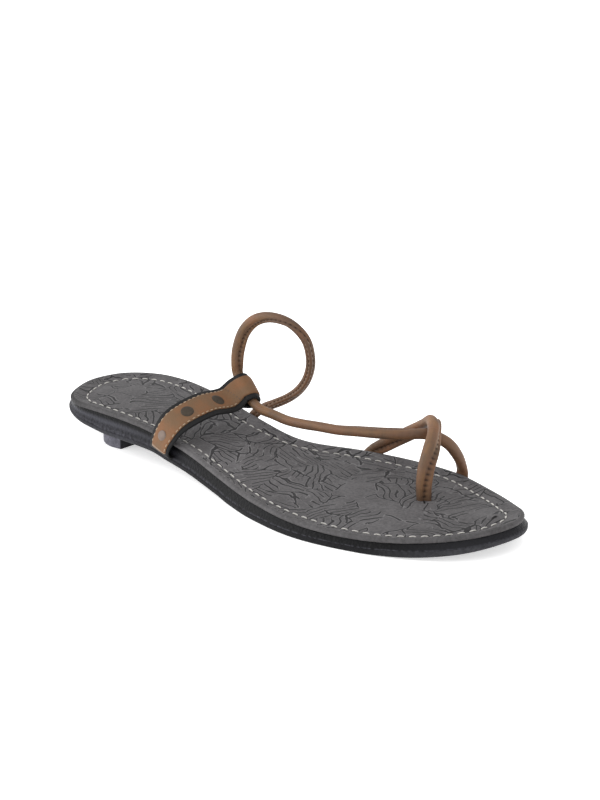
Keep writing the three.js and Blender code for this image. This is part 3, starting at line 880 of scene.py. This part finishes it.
def cordPath(table):
    # The curve through the route, with its columns, spaced evenly by length. The flange points
    # heading degrees to the left of straight ahead and lift degrees up.
    rows = np.column_stack([*(table[key] for key in ("x", "y", "z", "tube", "deep", "flange")),
                            acrossOf(-table["heading"], -table["lift"])])
    fine = np.linspace(0, 1, 6001)
    run = runAlong(curveThrough(rows, fine)[:, :3])
    distance = np.linspace(0, run[-1], int(run[-1] * cord["sections"]))
    share = np.interp(distance, run, fine)
    values = curveThrough(rows, share)
    along = tangentOf(rows, share)
    way = squareTo(along, values[:, 6:9])
    return {"distance": distance, "centre": values[:, :3], "along": along, "way": way,
            "across": np.cross(along, way), "tube": values[:, 3], "deep": values[:, 4],
            "flange": values[:, 5]}


def cordGrid(path, seamTable):
    # In polar form about the core, the section is softly the larger of an ellipse and a bar with a
    # round end. Holes are pressed into the groove where the two meet, as bells round it that reach
    # further over the core, as deep and broad as the seam table says for that distance.
    q = np.linspace(0, 1, cord["around"] + 1)
    theta = 2 * np.pi * q - cord["crowding"] * np.sin(2 * np.pi * q)
    theta = np.where(theta > np.pi, theta - 2 * np.pi, theta)[None, :]
    distance, tube, deep, flange = (path[key][:, None]
                                    for key in ("distance", "tube", "deep", "flange"))
    a, b = tube / 2, deep / 2
    oval = a * b / np.hypot(b * np.cos(theta), a * np.sin(theta))
    half, tip = np.minimum(cord["flangeThickness"], deep) / 2, a + flange
    sine, cosine = np.abs(np.sin(theta)), np.cos(theta)
    bar = half / np.maximum(sine, 1e-6)
    inside = half ** 2 - (tip - half) ** 2 * sine ** 2
    cap = (tip - half) * cosine + np.sqrt(np.maximum(inside, 0))
    bar = np.where(bar * cosine > tip - half, cap, bar) * (cosine > 0)
    radius = (oval + bar + np.hypot(oval - bar, cord["soft"])) / 2
    grooveAt = np.arcsin(np.clip(half / a, 0, 0.95)) * cord["grooveShare"]
    hole = 0.5 - 0.5 * np.cos(2 * np.pi * distance / stitches["cord"]["pitch"])
    fade, breadth, contactShade = (np.interp(distance, seamTable["at"], seamTable[key])
                           for key in ("depth", "breadth", "contactShade"))
    fromGroove = np.abs(theta) - grooveAt
    reach = np.where(fromGroove < 0, cord["flangeReach"], breadth)
    least = cord["betweenHoles"]
    seam = fade * np.exp(-(fromGroove / reach) ** 2) * (least + (1 - least) * hole ** 2)
    radius = radius - cord["holeDepth"] * seam
    x, y = radius * cosine - flange / 2, radius * np.sin(theta)
    grid = closedEnds(path["centre"][:, None] + x[..., None] * path["way"][:, None]
                      + y[..., None] * path["across"][:, None])
    uv = np.stack(np.broadcast_arrays(distance, q * cord["girth"]), axis=-1) * mm
    # The seam mark is also painted shade, in the holes and groove and where the cord goes into the sole;
    # the next mark is painted shade along the cord.
    paintedShade = np.interp(distance, *seamTable["paintedShade"]) + 0 * radius
    return grid, endsTwice(uv), {"seam": endsTwice(np.maximum(seam, contactShade)),
                                 "paintedShade": endsTwice(paintedShade)}


def cordStitchGrids(path, size, runs):
    # Stitches lie in the groove on both faces of the flange, between the holes, over each run of
    # distances from its start to its end.
    marks = np.concatenate([np.arange(np.ceil(start / size["pitch"]), end / size["pitch"])
                            for start, end in runs]) * size["pitch"]
    value = {key: readAlong(path["distance"], column, marks) for key, column in path.items()}
    out = np.minimum(cord["flangeThickness"], value["deep"]) / 2 - cord["threadSink"]
    reach = value["tube"] / 2 * 0.98 - value["flange"] / 2
    return np.concatenate([
        stitchGrids(value["centre"] + reach * value["way"] + side * out * value["across"],
                    unit(value["along"]), unit(side * value["across"]), size)
        for side in (1, -1)])


# Materials


def waveScale(pitch):
    # The Wave texture's scale for bands that far apart, since it repeats 20 / (2 pi) times a unit.
    return 2 * np.pi / 20 / pitch


embossing = {
    "cell": 15,  # size of the patches that the strokes are turned in
    "strokePitch": 2.7318,
    "turn": 6.28,  # how far they may be turned, in radians
    "warp": 17,  # how far the patches are pulled about
    "ground": ("#494748", "#5b595a"),
    # colour of the painted highlights beside the lines
    "rim": "#6b696a",
    "line": "#2e2d2e",
    "depth": 0.55,
    # painted light and shade along the cover's length
    "lengthShading": ((42, 62, 1.28), (88, 118, 0.85), (165, 190, 0.85)),  # from y, to y, times
}


def embossedCover():
    # Polyurethane-coated cover, plate-embossed: matt grey in cloudy patches of 11 mm, with a grain of
    # 1.25 mm, which is coarser than the real one so that it shows. Dark wiped lines about 0.9 mm wide
    # are pressed into it, with painted highlights, paler, along both sides of them.
    material, add, place = newMaterial(
        "embossedPuCover", {"Roughness": 0.62, "Specular IOR Level": 0.16})
    warp = add("TexNoise", {"Vector": place, "Scale": 1 / 22.22, "Detail": 2.5})["Color"]
    warp = add("VectorMath", {0: warp, 1: (0.5, 0.5, 0.5)}, operation="SUBTRACT")[0]
    warp = add("VectorMath", {0: warp, 1: (embossing["warp"], embossing["warp"], 0), 2: place},
               operation="MULTIPLY_ADD")[0]
    flat = add("VectorMath", {0: warp, 1: (1, 1, 0)}, operation="MULTIPLY")[0]
    cells, border = (add("TexVoronoi", {"Vector": flat, "Scale": 1 / embossing["cell"]}, feature=kind)
                     for kind in ("F1", "DISTANCE_TO_EDGE"))
    pick = add("SeparateColor", {0: cells["Color"]})
    # Cell borders, broken here and there
    crack = add("MapRange", {"Value": border["Distance"], "From Max": 0.05, "To Min": 1, "To Max": 0})[0]
    breaks = patches(add, place, 9.09, 1.0, 0.42, 0.47)
    crack = add("Math", {0: crack, 1: breaks}, operation="MULTIPLY")[0]
    # Parallel strokes, turned differently in each cell and about 11 mm long
    turn = add("Math", {0: pick[0], 1: embossing["turn"]}, operation="MULTIPLY")[0]
    turned = add("VectorRotate", {"Vector": flat, "Angle": turn}, rotation_type="Z_AXIS")[0]
    strokes = add("TexWave", {"Vector": turned, "Scale": waveScale(embossing["strokePitch"]),
                              "Distortion": 2.2, "Detail": 1.0, "Detail Scale": 0.5})["Fac"]
    strokes = add("MapRange", {"Value": strokes, "From Min": 0.55, "From Max": 1.0})[0]
    some = add("Math", {0: pick[1], 1: 0.1}, operation="GREATER_THAN")[0]
    ends = add("Mapping", {"Vector": turned, "Scale": (1 / 3.333, 1 / 11.11, 1)})[0]
    ends = patches(add, ends, 1, 0.0, 0.4, 0.45)
    for part in (some, ends):
        strokes = add("Math", {0: strokes, 1: part}, operation="MULTIPLY")[0]
    field = add("Math", {0: crack, 1: strokes}, operation="MAXIMUM")[0]
    # None on the wrapped edge, which has painted shade on the underside of its roll, most at the back of
    # the heel
    inset, along = add("Attribute", attribute_name="inset")["Fac"], add("SeparateXYZ", {0: place})[1]
    plain, rollShade, depth = (
        add("MapRange", {"Value": value, "From Min": low, "From Max": high, "To Min": a, "To Max": b})[0]
        for value, low, high, a, b in ((inset, 0.9, 2.4, 0, 1), (inset, 0, 2.2, 1, 0),
                                       (along, -20, 2, -0.75, -0.15)))
    field = add("Math", {0: field, 1: plain}, operation="MULTIPLY")[0]
    shade = add("Math", {0: rollShade, 1: depth, 2: 1.0}, operation="MULTIPLY_ADD")[0]
    # Painted light makes it paler in the arch than at the heel, and painted shade darker again towards
    # the toe
    for start, end, factor in embossing["lengthShading"]:
        step = add("MapRange", {"Value": along, "From Min": start, "From Max": end,
                                "To Min": 1, "To Max": factor})[0]
        shade = add("Math", {0: shade, 1: step}, operation="MULTIPLY")[0]
    lines = add("MapRange", {"Value": field, "From Min": 0.42, "From Max": 0.66},
                interpolation_type="SMOOTHSTEP")[0]
    # Painted highlights: a paler band along both sides of each line.
    rimHighlights = add("MapRange", {"Value": field, "From Min": 0.02, "From Max": 0.35})[0]
    tone, grain = (add("TexNoise", {"Vector": place, "Scale": 1 / size, "Detail": detail})[0]
                   for size, detail in ((11.11, 4.0), (1.25, 3.0)))
    tone = add("Mix", {0: 0.55, 2: tone, 3: grain})[0]
    tone = add("MapRange", {"Value": tone, "From Min": 0.38, "From Max": 0.62})[0]
    darker, paler = embossing["ground"]
    colour = layered(add, linear(darker), (tone, paler), (rimHighlights, embossing["rim"]),
                     (lines, embossing["line"]))
    colour = add("VectorMath", {0: colour, "Scale": shade}, operation="SCALE")[0]
    grain = add("Math", {0: grain, 1: 0.5}, operation="MULTIPLY")[0]
    height = add("Math", {0: lines, 1: -1.0, 2: grain}, operation="MULTIPLY_ADD")[0]
    bump = add("Bump", {"Height": height, "Distance": embossing["depth"] * mm, "Strength": 0.9})[0]
    return finished(material, colour, bump)


def mouldedBlack():
    # Polyurethane midsole wall: near black at the ball, grey with scuffs of 1.25 mm and a band of
    # painted sheen towards the heel, painted shade in the groove under the cover, paler at the toe, and
    # a painted highlight along the parting line at the foot of the wall.
    material, add, place = newMaterial(
        "satinPolyurethane", {"Roughness": 0.45, "Specular IOR Level": 0.12})
    level = add("Attribute", attribute_name="level")["Fac"]
    along = add("SeparateXYZ", {0: place})[1]
    heelward, toeward, parting = (
        add("MapRange", {"Value": value, "From Min": start, "From Max": end})[0]
        for value, start, end in ((along, 75, 15), (along, 180, 205), (level, 0.24, 0.1)))
    # Painted sheen in a band across the middle of the wall, and painted shade up under the cover's edge.
    band, groove = (add("MapRange", {"Value": level, "From Min": start, "From Max": end},
                        interpolation_type="SMOOTHSTEP")[0] for start, end in ((0.3, 0.5), (0.52, 0.84)))
    mottle = patches(add, place, 1.25, 4.0, 0.35, 0.65)
    parting = add("Math", {0: parting, 1: mottle}, operation="MULTIPLY")[0]
    grey = layered(add, linear("#1c1c20"), (mottle, "#2e2e34"), (band, "#3a3a40"))
    colour = add("Mix", {0: heelward, 6: linear("#0c0c0e"), 7: grey}, data_type="RGBA")[2]
    # Painted shade under the cover, paler at the toe, and a painted highlight at the parting line.
    colour = layered(add, colour, (groove, "#08080a"), (toeward, "#1e1e21"), (parting, "#3c3c42"))
    bump = add("Bump", {"Height": mottle, "Distance": 0.2 * mm, "Strength": 0.8})[0]
    return finished(material, colour, bump)


def mouldedRubber(name, heel, ball, toe):
    # Moulded thermoplastic rubber, dulled by a pebble of 1.1 mm, drawn coarse to show: its colour goes
    # from the heel's to the ball's to the toe's, with darker patches of 1.7 mm, and painted shade on the
    # heel block's breast. The tread is ribs across the underside, with painted shade in the grooves
    # between them.
    material, add, place = newMaterial(name, {"Roughness": 0.6, "Specular IOR Level": 0.15})
    along = add("SeparateXYZ", {0: place})[1]
    heelward, toeward = (add("MapRange", {"Value": along, "From Min": start, "From Max": end})[0]
                         for start, end in ((70, 20), (170, 205)))
    breast, tread = (add("Attribute", attribute_name=mark)["Fac"] for mark in ("breast", "tread"))
    # Painted shade on the heel block's breast.
    colour = layered(add, linear(ball), (heelward, heel), (toeward, toe), (breast, "#27272b"))
    tone = patches(add, place, 1.667, 4.0, 0.35, 0.65, **{"To Min": 0.6})
    pebble = add("TexNoise", {"Vector": place, "Scale": 1 / 1.111, "Detail": 3.0})[0]
    bump = add("Bump", {"Height": pebble, "Distance": 0.4 * mm, "Strength": 0.8})[0]
    ribs = add("TexWave", {"Vector": place, "Scale": waveScale(outsole["treadPitch"])},
               bands_direction="Y")["Fac"]
    ribs = add("MapRange", {"Value": ribs, "From Min": 0.2, "From Max": 0.45})[0]
    ribs = add("Mix", {0: tread, 2: 1.0, 3: ribs})[0]
    bump = add("Bump", {"Height": ribs, "Distance": 0.8 * mm, "Normal": bump})[0]
    # Painted shade in the grooves between the ribs.
    shade = add("MapRange", {"Value": ribs, "To Min": 0.5})[0]
    for amount in (tone, shade):
        colour = add("VectorMath", {0: colour, "Scale": amount}, operation="SCALE")[0]
    return finished(material, colour, bump)


def blackBand():
    # Black coated band: soft matt, with a grain of 0.7 mm that is coarser than the real one, to show.
    material, add, place = newMaterial(
        "blackCoatedLeather", {"Base Color": "#0d0d0e", "Roughness": 0.6, "Specular IOR Level": 0.25})
    grain = add("TexNoise", {"Vector": place, "Scale": 1 / 0.7143, "Detail": 3.0})[0]
    return finished(material, bump=add("Bump", {"Height": grain, "Distance": 0.15 * mm})[0])


def tanFacing():
    # Waxed tan leather: soft matt brown, slightly uneven in patches of 9 mm, with a grain of 0.8 mm
    # that is coarser than the real one, to show.
    material, add, place = newMaterial(
        "waxedTanLeather", {"Roughness": 0.62, "Specular IOR Level": 0.3})
    tone = patches(add, place, 9.09, 3.0, 0.4, 0.6)
    colour = layered(add, linear("#694f37"), (tone, "#755033"))
    grain = add("TexNoise", {"Vector": place, "Scale": 1 / 0.7692, "Detail": 4.0})[0]
    return finished(material, colour, add("Bump", {"Height": grain, "Distance": 0.14 * mm})[0])


def tanCord():
    # Tan leather rolled round a core: soft sheen, patches of 10 mm, streaks 11 mm long and 1.1 mm wide,
    # creases 0.6 mm apart and 4 mm long across it, and painted shade along parts of its length, in its
    # seam and where it goes into the sole.
    material, add, place = newMaterial(
        "rolledTanLeather", {"Roughness": 0.55, "Specular IOR Level": 0.3})
    uv = add("VectorMath", {0: add("TexCoord")["UV"], "Scale": 1 / mm}, operation="SCALE")[0]
    tone = patches(add, place, 10, 3.0, 0.35, 0.65)
    sizes = ((11.11, 1.111), (0.625, 4))  # along and round the cord
    streaks, creases = (
        add("TexNoise", {"Vector": add("Mapping", {"Vector": uv, "Scale": (1 / long, 1 / wide, 1)})[0],
                         "Scale": 1.0, "Detail": 3.0})[0] for long, wide in sizes)
    streaks = add("MapRange", {"Value": streaks, "From Min": 0.45, "From Max": 0.7, "To Max": 0.5})[0]
    paintedShade, seam = (add("Attribute", attribute_name=mark)["Fac"] for mark in ("paintedShade", "seam"))
    # Painted shade along the cord, then in its seam and where it goes into the sole.
    colour = layered(add, linear("#604b3a"), (tone, "#79553c"), (streaks, "#86643f"),
                     (paintedShade, "#3e2c25"), (seam, "#2e1d13"))
    return finished(material, colour, add("Bump", {"Height": creases, "Distance": 0.18 * mm})[0])


def thread(name, code):
    # Waxed polyester thread or a raw cut edge: matt, slightly uneven in patches of 1.1 mm.
    material, add, place = newMaterial(name, {"Roughness": 0.7})
    tone = patches(add, place, 1.111, 1.0, 0, 1, **{"To Min": 0.75, "To Max": 1.1})
    return finished(material, add("VectorMath", {0: linear(code)[:3], "Scale": tone},
                                  operation="SCALE")[0])


def antiqueMetal(name, dark, light, metallic):
    # Antiqued metal: browned and dull, rubbed a little brighter in places of 1.25 mm.
    material, add, place = newMaterial(name, {"Metallic": metallic, "Roughness": 0.52})
    tone = add("TexNoise", {"Vector": place, "Scale": 1 / 1.25, "Detail": 3.0})[0]
    return finished(material, layered(add, linear(dark), (tone, light)))


cover = embossedCover()
satinBlack = mouldedBlack()
soleRubber = mouldedRubber("thermoplasticRubber", "#323237", "#131316", "#37373b")
heelRubber = mouldedRubber("heelRubber", "#676670", "#676670", "#676670")
bandLeather = blackBand()
facingLeather = tanFacing()
cordLeather = tanCord()
whiteThread = thread("whiteThread", "#bdbab5")
tanThread = thread("tanThread", "#9c866f")
# Brown thread for the facing's cross row; on the cords the same colour is painted shade on stitches that
# lie in shade.
brownAndShadedThread = thread("brownAndShadedThread", "#5e4838")
rawEdge = thread("rawLeatherEdge", "#877260")
brass = antiqueMetal("antiqueBrass", "#332c25", "#4d443a", 0.7)
nickel = antiqueMetal("wornNickel", "#5f5048", "#75665c", 0.3)
print("materials are made")

# Assembly

points, inset = footbedGrid()
addPiece("footbedCover", points, cover, ["footbed"], marks={"inset": inset})
points, level = midsoleGrid()
addPiece("midsoleWall", points, satinBlack, ["midsole"], marks={"level": level})
points, tread = outsoleGrid()
addPiece("outsoleUnit", points, soleRubber, ["outsole"], marks={"tread": tread})
points, marks = heelBlockGrid()
addPiece("heelBlockUnit", points, heelRubber, ["heel_block"], sharp=40, marks=marks)
addPiece("footbedStitches", footbedStitchGrids(stitches["footbed"]), whiteThread)
# Painted shade in the slit under the toe strand.
addPiece("toeSlitShade", slitGrids(), bandLeather)
print("the sole is on")

addPiece("instepBand", bandGrid(), bandLeather, ["instep_strap"])
addPiece("instepFacing", facingGrid(facing["start"], facing["end"]), facingLeather,
         ["strap_facing"], sharp=50)
cutFrom, cutTo = facing["start"] - facing["cutEnd"], facing["start"] + facing["cutEnd"]
addPiece("facingCutEnd", facingGrid(cutFrom, cutTo, facing["cutLift"]), rawEdge, sharp=50)
addPiece("facingStitches", facingStitchGrids(stitches["facing"]), tanThread)
addPiece("facingCrossStitches", crossRowGrids(), brownAndShadedThread)
for number, (distance, size) in enumerate(zip(rivets["places"], rivets["radius"]), 1):
    metal = nickel if number == 1 else brass
    addPiece(f"rivetHead{number}", rivetGrid(distance, size), metal,
             [f"rivet_{number}"])
print("the instep strap is on")

# By distance along each cord: how deep the seam's holes are, how far they reach over the core in
# radians, how much painted shade the leather has besides where it goes into the sole, how much
# painted shade it has along its length, and where thread shows pale and where it shows with painted
# shade.
cordPieces = {
    "mainCord": {
        "table": mainCord,
        "seam": {
            "at": [0, 10, 16, 128, 134, 215, 225, 243, 250, 300],
            "depth": [0, 0, 1, 1, 0, 0, 0.6, 0.6, 0, 0],
            "breadth": [0.22] * 10,
            "contactShade": [0] * 10,
            "paintedShade": ([0, 40, 60, 92, 104, 150, 165, 180, 235, 250, 290],
                        [0.15, 0.15, 0.5, 0.45, 0.1, 0.05, 0.15, 0.25, 0.3, 0.25, 0.35]),
        },
        "paleRuns": [(14, 72)],
        "darkRuns": [(72, 130), (222, 242)],
    },
    "toeStrand": {
        "table": toeStrand,
        "seam": {
            "at": [0, 8, 12, 44, 52, 62, 70, 77, 83, 98, 104],
            "depth": [0, 0, 0.8, 0.8, 0.2, 0.1, 0.3, 0.7, 1, 1, 1],
            "breadth": [0.2, 0.2, 0.2, 0.2, 0.2, 0.2, 0.2, 0.32, 0.5, 0.5, 0.5],
            "contactShade": [0, 0, 0, 0, 0, 0, 0, 0, 0, 0.1, 0.75],
            "paintedShade": ([0, 45, 60, 95, 105], [0.1, 0.1, 0.0, 0.1, 0.35]),
        },
        "paleRuns": [(66, 78)],
        "darkRuns": [(12, 48)],
    },
}
for name, parts in cordPieces.items():
    path = cordPath(parts["table"])
    points, uv, marks = cordGrid(path, parts["seam"])
    addPiece(name, points, cordLeather, ["cord_straps"], uv, marks)
    # The pale runs are tan thread; the dark runs are painted shade, the same stitches in brown where
    # they lie in shade.
    for runs, material in (("Pale", tanThread), ("Dark", brownAndShadedThread)):
        addPiece(f"{name}{runs}Stitches",
                 cordStitchGrids(path, stitches["cord"], parts[runs.lower() + "Runs"]), material)
print("the cords are on")

print("all pieces ride on the frame")
